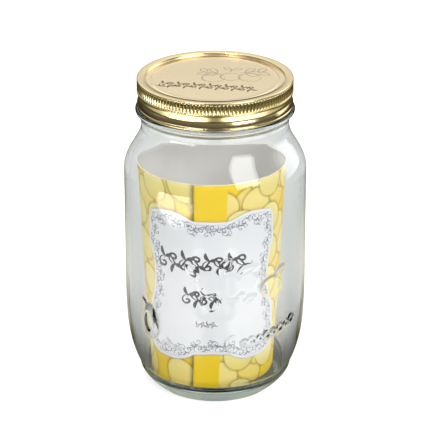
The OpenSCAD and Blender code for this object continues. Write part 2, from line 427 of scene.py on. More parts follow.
def relief(s, z):
    """Height of the pressed ornament in millimetres, at s along the front and z up.

    The highest of its shapes wins: a plum low on the left, a cluster of fruits with leaves in the
    middle, a single round fruit on the right, and a trail of rings and leaves under them. The middle
    cluster stands in a shallow dish, so that it comes no further forward than the wall.
    """
    hollow = 1.5 * oval(s, z, (-42.0, 53), (2.0, 4.6), 4, 0.6)
    shapes = [
        2.6 * oval(s, z, (-42.4, 53), (4.2, 6.6), 4, 0.8) - hollow,
        leaf(s, z, (-45, 61), 7, 2.2, 125),
        oval(s, z, (-4, 84), (6.0, 5.6)),
        oval(s, z, (8, 82), (6.6, 6.2)),
        oval(s, z, (19, 84), (5.4, 5.4)),
        oval(s, z, (-3, 71), (4.4, 4.4)),
        leaf(s, z, (3, 89), 13, 4.0, 60),
        leaf(s, z, (12, 88), 15, 4.2, 20),
        leaf(s, z, (-8, 88), 12, 3.6, 150),
        leaf(s, z, (6, 73), 11, 3.2, -8),
        leaf(s, z, (16, 71), 10, 3.4, 20),
        oval(s, z, (34.8, 77.5), (6.6, 5.6)),
        leaf(s, z, (37, 83), 10, 3.0, 35),
        1.3 * oval(s, z, (15, 75.5), (1.6, 1.6), 0, 0.8),
    ]
    trail = 42.5 + 0.0026 * np.clip(s, 0, None) ** 2
    for k in range(8):
        middle = 17 + 4.9 * k
        centre = (middle, 44.6 + 0.0026 * middle**2)
        shapes.append(1.5 * ring_ridge(s, z, centre, 2.1 if k % 2 else 1.5, 0.55))
        shapes.append(leaf(s, z, (middle + 1.5, centre[1] - 2.5), 5.0, 1.5, 60 if k % 2 else 25))
    shapes.append(ring_ridge(s, z, (11, 45), 5.0, 0.5) * (s < 12))
    shapes.append(0.8 * ring_ridge(s, z, (-22, 50), 9.0, 0.6) * (z < 46) * (s < -20))
    stalk = 0.5 * np.exp(-(((z - trail) / 0.6) ** 2))
    shapes.append(stalk * smooth_step((s - 14) / 4) * smooth_step((54 - s) / 4))
    dish = smooth_step((15 - np.abs(s)) / 8) * smooth_step((z - 58) / 8) * smooth_step((106 - z) / 8)
    return RELIEF_HEIGHT * (np.max(shapes, 0) - dish)


def glass_push(angle, radius, height):
    """What is added to the radius: the ornament, the two mould seams and the screw thread."""
    outside = radius > body_r - glass_t * 0.5
    heel = (height < heel_top) & (radius > body_r - glass_t * 0.4 - 9 * ((heel_top - height) / 64) ** 4)
    turned = (angle + np.pi) % (2 * np.pi) - np.pi
    front = np.abs(turned) < np.radians(72)
    wall = (outside | heel) & (height > ornament_foot) & (height < ornament_head)
    pushed = np.where(wall & front, relief(turned * body_r, height), 0)
    seam = seam_height * np.exp(-((np.degrees(np.abs(np.abs(turned) - np.pi / 2)) / 0.9) ** 2))
    pushed = pushed + np.where((outside | heel) & (height > heel_z) & (height < shoulder_end), seam, 0)
    turn = (angle / (2 * np.pi)) % 1
    for k in (0, 1):
        along = (turn + k) / thread_turns
        fade = smooth_step(np.minimum(along, 1 - along) * 10)
        middle = ring_top + thread_rise + thread_pitch * (turn + k)
        ridge = smooth_step(1.9 - np.abs(height - middle) / 0.8) * fade * (along < 1)
        on_finish = (np.abs(radius - finish_r) < 0.01) & (height > ring_top + 0.5)
        pushed = pushed + np.where(on_finish, (thread_r - finish_r) * ridge, 0)
    return pushed


# %% Glass material
def glass_material():
    """Clear soda-lime glass: IOR 1.52, a faint grey-green that deepens with thickness.

    Light for the card inside goes straight through instead of being bent, which keeps it even.
    """
    material, tree, shader = new_material("clear_glass")
    shader.inputs["Base Color"].default_value = (0.96, 0.97, 0.965, 1)
    shader.inputs["Transmission Weight"].default_value = 1.0
    shader.inputs["IOR"].default_value = 1.52
    shader.inputs["Metallic"].default_value = 0.0
    coords = object_coords(tree)
    tree.links.new(wander(tree, coords, 30.0, 0.0, 0.03), shader.inputs["Roughness"])
    emboss(tree, shader, noise(tree, coords, 38.0, 1.0), 0.06, 0.002)
    absorb = wire(tree, "VolumeAbsorption", Color=(0.6, 0.68, 0.64, 1), Density=23.0)
    path = wire(tree, "LightPath").outputs
    straight = sums(tree, "MAXIMUM", path["Is Shadow Ray"], path["Is Diffuse Ray"])
    clear = wire(tree, "BsdfTransparent", Color=(0.98, 0.975, 0.975, 1))
    mixed = wire(tree, "MixShader", i0=straight, i1=shader.outputs[0], i2=clear.outputs[0])
    output = tree.nodes["Material Output"]
    tree.links.new(mixed.outputs[0], output.inputs["Surface"])
    tree.links.new(absorb.outputs[0], output.inputs["Volume"])
    return material


# %% Make the jar
front_angles = np.radians(np.linspace(-75, 75, 236, endpoint=False))
back_angles = np.radians(np.linspace(75, 285, 100, endpoint=False))
jar_angles = np.concatenate([front_angles, back_angles])
jar_points, jar_faces = lathe(np.concatenate([glass_outside(), glass_inside()]), jar_angles, glass_push)
glass_jar = new_piece("jar_glass", jar_points, jar_faces, [glass_material()])
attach(glass_jar, "jar")
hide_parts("glass_jar")
print("glass:", round(volume_cm3(jar_points, jar_faces), 1), "cm3")

# %% [markdown]
# ## The gold closure
#
# The band and the disc are thin tinplate with gold lacquer. Tinplate is stamped and rolled, so every
# edge is round, and those round edges catch the bright lines that tell the eye it is metal. The grip
# ribs are a push on the radius that rises and falls with the angle.

# %% Gold lacquer
def gold_material(name, colour, roughness, swing, brush):
    """Lacquered metal: a metallic shader whose roughness wanders a little, with a very fine grain."""
    material, tree, shader = new_material(name)
    shader.inputs["Metallic"].default_value = 1.0
    coords = object_coords(tree)
    darker = (*[0.93 * c for c in colour[:3]], 1)
    tone = blend(tree, wander(tree, coords, 22.0, 0.5, 0.7), darker, colour)
    tree.links.new(tone, shader.inputs["Base Color"])
    tree.links.new(wander(tree, coords, 60.0, roughness, swing), shader.inputs["Roughness"])
    emboss(tree, shader, noise(tree, coords, brush, 3.0), 0.12, 0.0003)
    return material


gold_bright = gold_material("gold_band", srgb(234, 216, 166), 0.17, 0.05, 900.0)
gold_satin = gold_material("gold_disc", srgb(242, 224, 184), 0.28, 0.08, 1600.0)

# %% Band sizes and profile
band_r = (band_high[1] - band_low[1]) / 2
band_z, lid_top = band_low[2], band_high[2]
sheet_t = 0.5
rib_count = 130
rib_depth = 0.5
flange_r = 40.1
knurl_top = lid_top - 1.1
knurl_z = knurl_top - 6
waist_r, bead_r, bead = 43.9, 44.9, 0.9
lip_z, waist_z, hem_z = knurl_z - 0.5, knurl_z - 4.7, band_z + 2 * bead + 0.2


def skirt(steps):
    """Half a cosine wave in from the lip to the waist, then out to the hem as t (1.5 - 0.5 t)."""
    t = np.linspace(0, 1, steps)
    taper = np.column_stack([waist_r + (band_r - waist_r) * s_curve(t), lip_z + (waist_z - lip_z) * t])
    flare_r = waist_r + (band_r - waist_r) * t * (1.5 - 0.5 * t)
    flare = np.column_stack([flare_r, waist_z + (hem_z - waist_z) * t])
    return np.concatenate([taper, flare[1:]])


def band_profile():
    """The sheet metal's section, anticlockwise: up the outside, over the flange and down the inside."""
    valley = band_r - rib_depth
    roll = arc(bead_r - bead, band_z + bead, bead, bead, -90, 70, 12)
    hem = np.array([[band_r - 0.12, band_z + 2 * bead + 0.05]])
    lip = arc(band_r - 0.25, knurl_z - 0.3, 0.3, 0.3, -40, 80, 6)
    z = np.concatenate([[knurl_z + 0.05, knurl_z + 0.25, knurl_z + 0.6],
                        [knurl_top - 0.6, knurl_top - 0.25, knurl_top - 0.05]])
    ribs = np.column_stack([np.full(len(z), valley), z])
    neck = np.array([[valley - 0.15, knurl_top], [valley - 0.25, knurl_top + 0.12]])
    corner = arc(band_r - 0.6, lid_top - 0.6, 0.6, 0.6, -30, 90, 8)
    edge = np.array([[flange_r + 0.2, lid_top], [flange_r + 0.06, lid_top - 0.06],
                     [flange_r, lid_top - 0.2], [flange_r, lid_top - sheet_t]])
    outer = np.concatenate([roll, hem, skirt(12)[::-1], lip, ribs, neck, corner, edge])
    inner_r, inner_top = valley - sheet_t, lid_top - sheet_t
    under = np.array([[inner_r - 0.3, inner_top], [inner_r, inner_top - 0.3], [inner_r, knurl_z]])
    inner = skirt(6) - [sheet_t, 0]
    curl = np.array([[band_r - 1.2, band_z + 2 * bead], [band_r - 1.2, band_z + 0.3], [band_r - 0.9, band_z]])
    return np.concatenate([outer, under, inner, curl])


def rib_push(angle, radius, height):
    """Grip ribs: rounded crests rib_depth high between narrow valleys, only on the knurled height."""
    wave = 0.5 + 0.5 * np.cos(rib_count * angle)
    crest = smooth_step((wave - 0.12) / 0.55)
    on_band = (radius > band_r - rib_depth - 0.02) & (radius < band_r - rib_depth + 0.02)
    ends = np.minimum(height - knurl_z, knurl_top - height)
    return np.where(on_band & (ends > 0), rib_depth * 0.96 * crest * smooth_step(ends / 0.5), 0)


# %% Make the band
band_angles = np.linspace(0, 2 * np.pi, rib_count * 8, endpoint=False)
band_points, band_faces = lathe(band_profile(), band_angles, rib_push)
screw_band = new_piece("gold_screw_band", band_points, band_faces, [gold_bright])
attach(screw_band, "band")
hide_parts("screw_band")
print("band:", round(volume_cm3(band_points, band_faces), 2), "cm3")

# %% Disc profile
disc_r = (disc_high[1] - disc_low[1]) / 2
channel_top = disc_high[2]
panel_z = lid_top - 1.7
disc_t = 0.45
step_r, step_h = 36.0, 0.25
panel_r, panel_dome = 34.5, 0.12
wall_in_r, channel_r, wall_t = 40.2, 40.4, 0.35


def disc_profile():
    """Pressed disc, anticlockwise: from the middle of its underside out to its edge and back on top."""
    top = np.array([
        [disc_r, channel_top - 0.4], [disc_r - 0.12, channel_top - 0.12], [disc_r - 0.4, channel_top],
        [channel_r + 0.3, channel_top], [channel_r + 0.1, channel_top - 0.08],
        [channel_r, channel_top - 0.25],
        [wall_in_r, panel_z + 0.25], [wall_in_r - 0.1, panel_z + 0.08], [wall_in_r - 0.3, panel_z],
        [37.3, panel_z], [37.0, panel_z + 0.03], [36.5, panel_z + 0.3], [36.2, panel_z + 0.36],
        [35.9, panel_z + 0.3], [35.5, panel_z + step_h],
    ])
    r = np.linspace(panel_r, 0, 12)
    panel = np.column_stack([r, panel_z + step_h + panel_dome * (1 - (r / panel_r) ** 2)])
    under = np.array([
        [0, panel_z - disc_t + step_h], [step_r, panel_z - disc_t + step_h], [step_r + 0.8, panel_z - disc_t],
        [wall_in_r + wall_t, panel_z - disc_t], [channel_r + wall_t, channel_top - disc_t],
        [disc_r - 0.4, channel_top - disc_t],
        [disc_r - 0.4, channel_top - 1.2], [disc_r - 0.2, channel_top - 1.25], [disc_r, channel_top - 1.15],
    ])
    return np.concatenate([under, top, panel])


disc_angles = np.linspace(0, 2 * np.pi, 240, endpoint=False)
disc_points, disc_faces = lathe(disc_profile(), disc_angles)
lid_disc = new_piece("gold_lid_disc", disc_points, disc_faces, [gold_satin])
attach(lid_disc, "disc")
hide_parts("lid_disc")
print("disc:", round(volume_cm3(disc_points, disc_faces), 2), "cm3")

# %% [markdown]
# ## Sealing compound
#
# The white ring under the disc is poured as a paste and cured. Its CAD shape is already right, so the
# node stays and only gets a matt, slightly uneven rubber finish.

# %% Sealing ring finish
def compound_material():
    """Matt off-white rubber with a faint mottle and a fine skin."""
    material, tree, shader = new_material("sealing_compound")
    coords = object_coords(tree)
    tone = blend(tree, wander(tree, coords, 90.0, 0.5, 1.0), srgb(226, 224, 214), srgb(240, 239, 232))
    tree.links.new(tone, shader.inputs["Base Color"])
    shader.inputs["Roughness"].default_value = 0.6
    emboss(tree, shader, noise(tree, coords, 1200.0, 2.0), 0.2, 0.0003)
    return material


sealing_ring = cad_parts["sealing_ring"]
sealing_ring.data.materials.clear()
sealing_ring.data.materials.append(compound_material())
print("sealing ring keeps its CAD shape")

# %% [markdown]
# ## The rolled sleeve
#
# The sleeve is one sheet of card rolled so that its outer end laps over the inner one, with the free
# edge near the front. It is a spiral that is a little wider at the top. Its own UV map gives the distance
# round the sheet and the height, and the print reads that map, so the pattern follows the card.

# %% Closed sheets
def slab(front, back):
    """Closed shell between two grids of points (rows, columns, 3); front's columns run right, rows up.

    Returns the points, the face arrays and the material slot of each face: 0 in front, 1 elsewhere.
    """
    rows, columns = front.shape[:2]
    f = np.arange(rows * columns).reshape(rows, columns)
    b = f + rows * columns

    def grid(g):
        """Each cell's four corners, anticlockwise."""
        return np.stack([g[:-1, :-1], g[:-1, 1:], g[1:, 1:], g[1:, :-1]], -1).reshape(-1, 4)

    def rim(p, q):
        """A strip of faces between two rows of points."""
        return np.stack([p[:-1], q[:-1], q[1:], p[1:]], -1)

    rims = [
        rim(f[-1], b[-1])[:, ::-1], rim(f[0], b[0]),
        rim(f[:, 0], b[:, 0])[:, ::-1], rim(f[:, -1], b[:, -1]),
    ]
    faces = [grid(f), grid(b)[:, ::-1], *rims]
    slots = np.concatenate([np.zeros(len(faces[0]), int), np.ones(sum(map(len, faces[1:])), int)])
    return np.concatenate([front.reshape(-1, 3), back.reshape(-1, 3)]), faces, slots


def set_uv(piece, flat):
    """A UV map from one (u, v) row per vertex."""
    layer = piece.data.uv_layers.new(name="flat")
    corner = np.zeros(len(piece.data.loops), int)
    piece.data.loops.foreach_get("vertex_index", corner)
    layer.data.foreach_set("uv", flat[corner].astype(np.float32).ravel())


# %% Sleeve surface
sleeve_z, sleeve_h = sleeve_low[2], sleeve_high[2] - sleeve_low[2]
sleeve_foot_r, sleeve_top_r, sleeve_x = 37.8, 43.2, -2.2
card_t, roll_gap = 0.5, 0.1
roll_turn = math.radians(420)
free_edge_angle, free_edge_lean = -15.6, 2.7
MAP_UNIT = 100
sheet_flare, sheet_h = 0.143, 1.27
label_low, label_high = node_size("label_card")


def sleeve_r(z):
    """Outside radius of the cone that the CAD sleeve has, a straight line in height."""
    return sleeve_foot_r + (sleeve_top_r - sleeve_foot_r) * (z - sleeve_z) / sleeve_h


def rolled_card(columns, rows):
    """Both faces of the roll, and its flat coordinates in units of 100 mm.

    Radius at angle a and height z: cone - (t + gap) a / 2 pi + wave. The wave is a slow out-of-round
    of 0.2 mm, and above and below the label the free edge springs out by 0.6 mm more.
    """
    a, v = np.meshgrid(np.linspace(0, roll_turn, columns), np.linspace(0, 1, rows))
    z = sleeve_z + sleeve_h * v
    clear_of_label = smooth_step((z - label_high[2]) / 10) + smooth_step((label_low[2] - z) / 10)
    wave = 0.2 * np.sin(3 * a + 1.0) * np.sin(2.5 * v + 0.4)
    spring = 0.6 * np.exp(-((a / 0.16) ** 2)) * clear_of_label
    outer = sleeve_r(z) - 0.25 - (card_t + roll_gap) * a / (2 * np.pi) + wave + spring
    angle = np.radians(free_edge_angle + free_edge_lean * v) + a
    faces = [
        np.stack([sleeve_x + r * np.sin(angle), -r * np.cos(angle), z], -1) for r in (outer, outer - card_t)
    ]
    flat = np.stack([a * sleeve_foot_r * (1 + sheet_flare * v), sleeve_h * v], -1).reshape(-1, 2) / MAP_UNIT
    return faces, np.concatenate([flat, flat])


# %% Printed pattern of the card
def build_paper_discs():
    """One layer of overlapping discs laid over what is under it.

    A lattice of square cells holds one disc each, moved and resized at random. Inside the disc the
    colour is Tint lightened towards one side; just outside it the layer below is darkened, as by a
    thin shadow.
    """
    group, ins, outs = new_group(
        "paper_discs",
        {
            "Under": ("Color", (1, 1, 1, 1)), "Flat": ("Vector", None), "Shift": ("Vector", None),
            "Tint": ("Color", (1, 1, 1, 1)), "Pale": ("Color", (1, 1, 1, 1)),
            "Shade": ("Color", (0, 0, 0, 1)),
            "Cell": ("Float", 0.26), "Radius": ("Float", 0.42), "Missing": ("Float", 0.3),
        },
        {"Color": "Color"},
    )
    i = ins.outputs
    moved = wire(group, "VectorMath", {"operation": "ADD"}, i0=i["Flat"], i1=i["Shift"])
    inverse = sums(group, "DIVIDE", 1.0, i["Cell"])
    scaled = wire(group, "VectorMath", {"operation": "SCALE"}, i0=moved.outputs[0], Scale=inverse)
    cell = wire(group, "VectorMath", {"operation": "FLOOR"}, i0=scaled.outputs[0])
    local = wire(group, "VectorMath", {"operation": "FRACTION"}, i0=scaled.outputs[0])
    dice = wire(group, "TexWhiteNoise", Vector=cell.outputs[0])
    jitter = wire(group, "VectorMath", {"operation": "MULTIPLY_ADD"},
                  i0=dice.outputs["Color"], i1=(0.16, 0.16, 0), i2=(-0.58, -0.58, 0))
    offset = wire(group, "VectorMath", {"operation": "ADD"}, i0=local.outputs[0], i1=jitter.outputs[0])
    level = wire(group, "VectorMath", {"operation": "MULTIPLY"}, i0=offset.outputs[0], i1=(1, 1, 0))
    distance = wire(group, "VectorMath", {"operation": "LENGTH"}, i0=level.outputs[0]).outputs["Value"]
    laid_here = sums(group, "GREATER_THAN", dice.outputs["Value"], i["Missing"])
    near_edge = sums(group, "ADD", i["Radius"], 0.02)
    far_edge = sums(group, "ADD", i["Radius"], 0.1)
    inside = ramp(group, distance, i["Radius"], near_edge, laid_here, 0.0, "LINEAR")
    dark = sums(group, "MULTIPLY", laid_here, 0.7)
    shadow = ramp(group, distance, i["Radius"], far_edge, dark, 0.0, "LINEAR")
    up = wire(group, "SeparateXYZ", i0=offset.outputs[0]).outputs[1]
    slope = sums(group, "MULTIPLY_ADD", up, 1.3, 0.45)
    swing = sums(group, "MULTIPLY_ADD", dice.outputs["Value"], 0.7, slope, clamp=True)
    disc = blend(group, swing, i["Tint"], i["Pale"])
    shaded = blend(group, shadow, i["Under"], i["Shade"])
    group.links.new(blend(group, inside, shaded, disc), outs.inputs["Color"])
    return group


PAPER_DISCS = build_paper_discs()


def printed_card_material():
    """Yellow card with layers of pale discs, a plain margin along its free edge, and a painted shadow: a dark
    line on the inner layer, just before the free edge covers it, where that edge's shade would fall.
    """
    material, tree, shader = new_material("yellow_print")
    flat = wire(tree, "UVMap", {"uv_map": "flat"}).outputs[0]
    parts = wire(tree, "SeparateXYZ", i0=flat)
    across, up = parts.outputs[0], parts.outputs[1]
    ground = blend(tree, up, srgb(210, 178, 8), srgb(214, 182, 0))
    laid = ground
    layers = (
        ((0.00, 0.03, 0), srgb(206, 176, 52), srgb(212, 190, 100)),
        ((0.11, 0.13, 0), srgb(196, 172, 56), srgb(208, 192, 112)),
        ((0.16, 0.04, 0), srgb(204, 178, 62), srgb(214, 196, 118)),
        ((0.05, 0.16, 0), srgb(202, 180, 66), srgb(212, 200, 132)),
    )
    for shift, tint, pale in layers:
        laid = place(tree, PAPER_DISCS, Under=laid, Flat=flat, Shift=shift, Tint=tint, Pale=pale,
                     Shade=srgb(120, 98, 6), Cell=0.215, Missing=0.43)
    margin = sums(tree, "MULTIPLY_ADD", up, 0.038, 0.144)
    printed = blend(tree, sums(tree, "GREATER_THAN", across, margin), ground, laid)
    stretch = sums(tree, "MULTIPLY_ADD", up, sheet_flare / sheet_h, 1.0)
    along = sums(tree, "DIVIDE", across, stretch)
    full_turn = 2 * math.pi * sleeve_foot_r / MAP_UNIT
    # Painted shadow: the print turns deep olive in a narrow band just before the free edge, where that edge's
    # shade would fall.
    edge_shadow = ramp(tree, along, full_turn - 0.035, full_turn, 0.0, 0.75)
    with_edge_shadow = blend(tree, edge_shadow, printed, srgb(84, 68, 20))
    tree.links.new(with_edge_shadow, shader.inputs["Base Color"])
    shader.inputs["Specular IOR Level"].default_value = 0.25
    finish_card(tree, shader, 0.5)
    return material


def finish_card(tree, shader, roughness):
    """Card stock: a slightly uneven sheen over fine fibres."""
    coords = object_coords(tree)
    tree.links.new(wander(tree, coords, 45.0, roughness, 0.15), shader.inputs["Roughness"])
    emboss(tree, shader, place(tree, PAPER_GRAIN, Vector=coords, Scale=700.0), 0.25, 0.0002)


def plain_card_material(name, low, high, roughness):
    """Unprinted stock that is mottled between two close tones."""
    material, tree, shader = new_material(name)
    mottle = wander(tree, object_coords(tree), 70.0, 0.5, 1.0)
    tree.links.new(blend(tree, mottle, low, high), shader.inputs["Base Color"])
    finish_card(tree, shader, roughness)
    return material


# %% Make the sleeve
(sleeve_front, sleeve_back), sleeve_flat = rolled_card(240, 40)
sleeve_points, sleeve_faces, sleeve_slots = slab(sleeve_front, sleeve_back)
inside_card = plain_card_material("card_back", srgb(247, 245, 243), srgb(251, 250, 248), 0.7)
sleeve_stock = [printed_card_material(), inside_card]
sleeve = new_piece("card_sleeve", sleeve_points, sleeve_faces, sleeve_stock, sleeve_slots)
set_uv(sleeve, sleeve_flat)
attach(sleeve, "jar")
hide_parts("insert_sleeve")
print("sleeve:", round(volume_cm3(sleeve_points, sleeve_faces), 2), "cm3")

# %% [markdown]
# ## The label
#
# The label is a piece of white card cut with wavy sides and bowed ends, as a die would cut it. Its
# outline is two curves: how wide it is at each height, and how tall it is at each distance from the
# middle. A square grid is stretched to those two curves and wrapped on the sleeve.

# %% Label surface
label_z, label_t, label_half_h = 76.0, 0.4, 45
label_r = sleeve_r(label_z) + 0.2

SIDE_HEIGHT = np.array([-47, -43, -35, -22, -14, -8, 0, 10, 19, 26, 42, 44.5])
SIDE_WIDTH = np.array([37, 40, 42.5, 41.5, 40, 37.5, 36.5, 37, 39, 41.8, 41.5, 39])
END_DISTANCE = np.array([0, 10, 14.5, 19, 24, 32, 38, 41.5, 43])
TOP_HEIGHT = np.array([42, 42, 44, 46, 46.8, 46, 44.5, 42.6, 42])
FOOT_HEIGHT = np.array([43, 43.6, 46.3, 47.8, 48.2, 47.9, 46, 43.4, 43])


def label_flat(u, v):
    """Distance s from the middle and height z above it, for u and v from -1 to 1."""
    s = u * np.interp(v * label_half_h, SIDE_HEIGHT, SIDE_WIDTH)
    top = np.interp(np.abs(s), END_DISTANCE, TOP_HEIGHT)
    foot = np.interp(np.abs(s), END_DISTANCE, FOOT_HEIGHT)
    return s, v * np.where(v > 0, top, foot)


def on_label(s, z, lift):
    """The point of the wrapped label at (s, z), lift millimetres above its front face."""
    height = label_z + z
    r = sleeve_r(height) + 0.1 + label_t + lift
    angle = np.arcsin(label_r * np.sin(s / label_r) / r)
    return np.stack([sleeve_x + r * np.sin(angle), -r * np.cos(angle), height], -1)


def label_sheet(columns, rows):
    """Front and back grids of the label and its flat coordinates."""
    u, v = np.meshgrid(np.linspace(-1, 1, columns), np.linspace(-1, 1, rows))
    s, z = label_flat(u, v)
    flat = np.stack([s, z], -1).reshape(-1, 2) / MAP_UNIT
    return on_label(s, z, 0), on_label(s, z, -label_t), np.concatenate([flat, flat])


label_front, label_back, label_uv = label_sheet(96, 96)
label_points, label_faces, _ = slab(label_front, label_back)
label_stock = plain_card_material("label_stock", srgb(198, 199, 203), srgb(206, 207, 211), 0.5)
label = new_piece("front_label", label_points, label_faces, [label_stock])
set_uv(label, label_uv)
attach(label, "jar")
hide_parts("label_card")
print("label:", round(volume_cm3(label_points, label_faces), 2), "cm3")

# %% [markdown]
# ## Ink
#
# Print could be a texture, but these lines are finer than the pattern of a texture. Each pen stroke is
# its own very thin raised lens of ink: a path, a width along the path and a surface to lie on. All the
# strokes of a drawing are worked out together and become one piece.

# %% Strokes
STROKE_STEPS = 18


def curl(turns, reach, start=0.0, sharp=1.5, steps=STROKE_STEPS):
    """A spiral from the origin outwards and back in: its radius shrinks as (1 - t)^sharp."""
    t = np.linspace(0, 1, steps)
    a = start + turns * 2 * np.pi * t
    r = reach * (1 - 0.85 * t) ** sharp
    x, y = r * np.cos(a), r * np.sin(a)
    return np.column_stack([x - x[0], y - y[0]])


def bow(length, rise, steps=STROKE_STEPS):
    """A leaf-like arc of the given length whose middle rises: y = 4 rise t (1 - t)."""
    t = np.linspace(0, 1, steps)
    return np.column_stack([length * t, 4 * rise * t * (1 - t)])


def turned(path, degrees, at=(0, 0), flip=1):
    """The path turned about its start and moved, mirrored first if flip is -1."""
    c, d = math.cos(math.radians(degrees)), math.sin(math.radians(degrees))
    x, y = path[:, 0], path[:, 1] * flip
    return np.column_stack([at[0] + x * c - y * d, at[1] + x * d + y * c])


def ink(name, paths, widths, surface, material, body, height=0.035, sunk=0.03):
    """One piece of ink from paths (k, m, 2) and middle widths (k,), laid by surface(x, y, lift).

    Each stroke's width swells as sin(pi t)^0.6 from a narrow end at both sides. Its section is a flat
    diamond from sunk below the surface to height above it, so every stroke is closed.
    """
    paths, widths = np.asarray(paths), np.asarray(widths)
    count, steps = paths.shape[:2]
    t = np.linspace(0.02, 0.98, steps)
    half = widths[:, None] * np.sin(np.pi * t)[None, :] ** 0.6 / 2
    along = np.gradient(paths, axis=1)
    along /= np.maximum(np.linalg.norm(along, axis=2, keepdims=True), 1e-9)
    side = np.stack([along[..., 1], -along[..., 0]], -1) * half[..., None]
    corners = [(paths + side, 0), (paths, height), (paths - side, 0), (paths, -sunk)]
    ring = np.stack([surface(p[..., 0], p[..., 1], lift) for p, lift in corners], 2)
    index = np.arange(count * steps * 4).reshape(count, steps, 4)
    after = np.roll(index, -1, 2)
    walls = np.stack([index[:, :-1], index[:, 1:], after[:, 1:], after[:, :-1]], -1).reshape(-1, 4)
    faces = [walls, index[:, 0, :], index[:, -1, ::-1]]
    points = ring.reshape(-1, 3)
    if volume_cm3(points, faces) < 0:
        faces = [f[:, ::-1] for f in faces]
    piece = new_piece(name, points, faces, [material])
    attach(piece, body)
    print(name + ":", count, "strokes")
    return piece


def ink_material(name, dark, light):
    """Printing ink that lies a little thicker in some places than in others."""
    material, tree, shader = new_material(name)
    spread = wander(tree, object_coords(tree), 260.0, 0.5, 1.4)
    tree.links.new(blend(tree, spread, dark, light), shader.inputs["Base Color"])
    shader.inputs["Roughness"].default_value = 0.45
    return material


def scatter(motif, widths, at, degrees, flips, size):
    """Copies of a motif (k, m, 2) at many places: sized, mirrored, turned and moved all at once."""
    motif, a = np.asarray(motif), np.radians(degrees)[:, None, None]
    x = motif[None, ..., 0] * size[:, None, None]
    y = motif[None, ..., 1] * (size * flips)[:, None, None]
    px = x * np.cos(a) - y * np.sin(a) + at[:, 0][:, None, None]
    py = x * np.sin(a) + y * np.cos(a) + at[:, 1][:, None, None]
    paths = np.stack([px, py], -1).reshape(-1, motif.shape[1], 2)
    return paths, (np.asarray(widths)[None, :] * size[:, None]).ravel()


# %% Label border
def square_walk(share, count):
    """Points round the label at a share of its size, evenly spaced, with the direction of travel."""
    t = np.linspace(0, 4, 4 * 400, endpoint=False)
    side, f = np.floor(t).astype(int), 2 * (t % 1) - 1
    one = np.ones_like(f)
    u = np.choose(side, [f, one, -f, -one])
    v = np.choose(side, [one, -f, -one, f])
    s, z = label_flat(u * share, v * share)
    loop = np.column_stack([s, z])
    step = np.linalg.norm(np.roll(loop, -1, 0) - loop, axis=1)
    run = np.concatenate([[0], np.cumsum(step)])
    loop = np.concatenate([loop, loop[:1]])
    want = (np.arange(count) + 0.5) / count * run[-1]
    at = np.column_stack([np.interp(want, run, loop[:, k]) for k in (0, 1)])
    ahead = np.column_stack([np.interp((want + 1.5) % run[-1], run, loop[:, k]) for k in (0, 1)])
    return at, np.degrees(np.arctan2(*(ahead - at).T[::-1]))


lilac_ink = ink_material("lilac_ink", srgb(62, 66, 88), srgb(94, 98, 120))
grey_ink = ink_material("grey_ink", srgb(34, 36, 40), srgb(62, 64, 68))

border_motif = [
    curl(1.3, 2.4, 0.4), turned(curl(1.1, 1.7, 0.2), 200, (0.4, -0.5), -1), turned(bow(3.2, 0.9), 40),
    turned(bow(2.6, -0.8), 150), turned(bow(2.2, 0.5), -70),
]
border_widths = [0.42, 0.34, 0.6, 0.48, 0.42]
border = []
for share, count, size in ((0.9, 50, 1.0), (0.83, 30, 0.85)):
    at, degrees = square_walk(share, count)
    flips = np.where(np.arange(count) % 2, 1.0, -1.0)
    border.append(scatter(border_motif, border_widths, at, degrees, flips, np.full(count, size)))
fine_line = 0.34
edge_count = 260
at, degrees = square_walk(0.955, edge_count)
once = np.ones(edge_count)
border.append(scatter([bow(0.62, 0.0)], [fine_line], at, degrees, once, once))
tick_count = 22
for end in (-1, 1):
    s, z = label_flat(np.linspace(-0.34, 0.34, tick_count), np.full(tick_count, 0.89 * end))
    for length, lean in ((0.95, 0.0), (1.3, 60.0)):
        border.append(scatter([bow(length, 0.25)], [fine_line], np.column_stack([s, z]),
                              np.full(tick_count, lean), once[:tick_count], once[:tick_count]))
border_paths, border_weights = (np.concatenate(part) for part in zip(*border))
ink("label_border_ink", border_paths, border_weights, on_label, lilac_ink, "jar")

# %% Label ornament rows
def vine_row(left, right, middle, swing, waves, curl_reach, weight):
    """A running vine: a wavy stem with a curl and two leaves in each of its hollows."""
    x = np.linspace(left, right, STROKE_STEPS * waves)
    stem = np.column_stack([x, middle + swing * np.sin(2 * np.pi * waves * (x - left) / (right - left))])
    strokes = [stem[k * STROKE_STEPS : (k + 1) * STROKE_STEPS] for k in range(waves)]
    strokes += [stem[(2 * k + 1) * STROKE_STEPS // 2 :][:STROKE_STEPS] for k in range(waves - 1)]
    sizes = [weight * 0.7] * len(strokes)
    pitch = (right - left) / waves
    for k in range(waves):
        for half, up in ((0.25, 1), (0.75, -1)):
            at = (left + pitch * (k + half - 0.18), middle + up * swing * 0.55)
            strokes.append(turned(curl(1.35, curl_reach, 0.3), 60 * up, at, up))
            strokes.append(turned(bow(curl_reach * 1.5, 0.9), 110 * up, at, up))
            strokes.append(turned(bow(curl_reach * 1.2, -0.7), 25 * up, at, up))
            sizes += [weight, weight * 1.5, weight * 1.2]
    return strokes, sizes


rows = [
    vine_row(-29, 25, 15.5, 3.4, 4, 4.2, 1.5),
    vine_row(-14, 6, -6.5, 3.0, 2, 3.6, 1.3),
    vine_row(-8, 4, -24, 0.8, 2, 1.2, 0.35),
]
row_paths, row_widths = sum((r[0] for r in rows), []), sum((r[1] for r in rows), [])
ink("label_row_ink", row_paths, row_widths, on_label, grey_ink, "jar")

# %% Ink on the disc
def on_disc(x, y, lift):
    """The point of the disc's raised panel at (x, y), lift millimetres above it."""
    r2 = (x * x + y * y) / panel_r**2
    return np.stack([x, y, panel_z + step_h + panel_dome * (1 - r2) + lift], -1)


